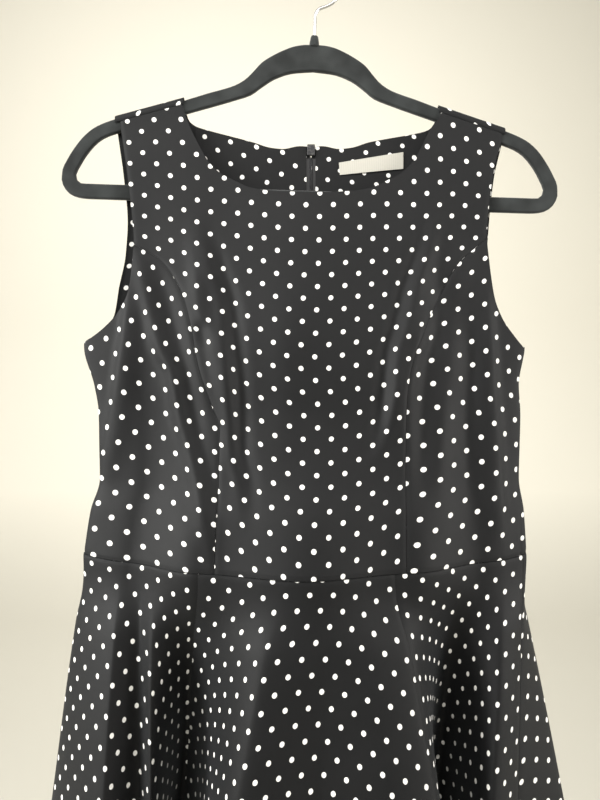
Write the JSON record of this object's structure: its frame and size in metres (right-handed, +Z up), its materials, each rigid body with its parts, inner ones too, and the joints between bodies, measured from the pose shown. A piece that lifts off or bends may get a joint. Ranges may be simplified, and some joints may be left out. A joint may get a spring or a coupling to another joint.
{
  "type": "a-line dress on a hanger",
  "caption": "Sleeveless dotted a-line dress with princess seams, a waist seam, a circle-cut skirt and a back zip, held on a slim flocked hanger.",
  "frame": {"origin": "inside top of the hanger's hook, where a rail carries it", "axes": "+Z up, the front of the dress faces -Y, +X to the right as seen from the front"},
  "size_m": [0.567, 0.2409, 1.1291],
  "materials": {
    "dotted_cotton": "satin-faced black cotton blend with small white dots",
    "flocked_plastic": "black velvet flock",
    "hook_wire": "polished wire",
    "zip_tape": "closed nylon coil",
    "zip_metal": "dark lacquer",
    "label_satin": "blank white woven satin"
  },
  "bodies": {
    "garment": {"bodice_front_centre": "dotted_cotton", "bodice_side_front_left": "dotted_cotton", "bodice_side_front_right": "dotted_cotton", "bodice_back_left": "dotted_cotton", "bodice_back_right": "dotted_cotton", "back_facing_left": "dotted_cotton", "back_facing_right": "dotted_cotton", "skirt_front": "dotted_cotton", "skirt_back_left": "dotted_cotton", "skirt_back_right": "dotted_cotton", "zip_coil": "zip_tape", "zip_slider": "zip_metal", "neck_label": "label_satin", "hanger_body": "flocked_plastic", "hanger_hook": "hook_wire"},
    "zip_pull": {"zip_pull": "zip_metal"}
  },
  "joints": [
    {"name": "zip_pull_hinge", "type": "hinge", "parent": "garment", "child": "zip_pull", "pos_m": [-0.0055, 0.0091, -0.1744], "axis": [1, 0, 0], "range_deg": [0, 170]}
  ]
}
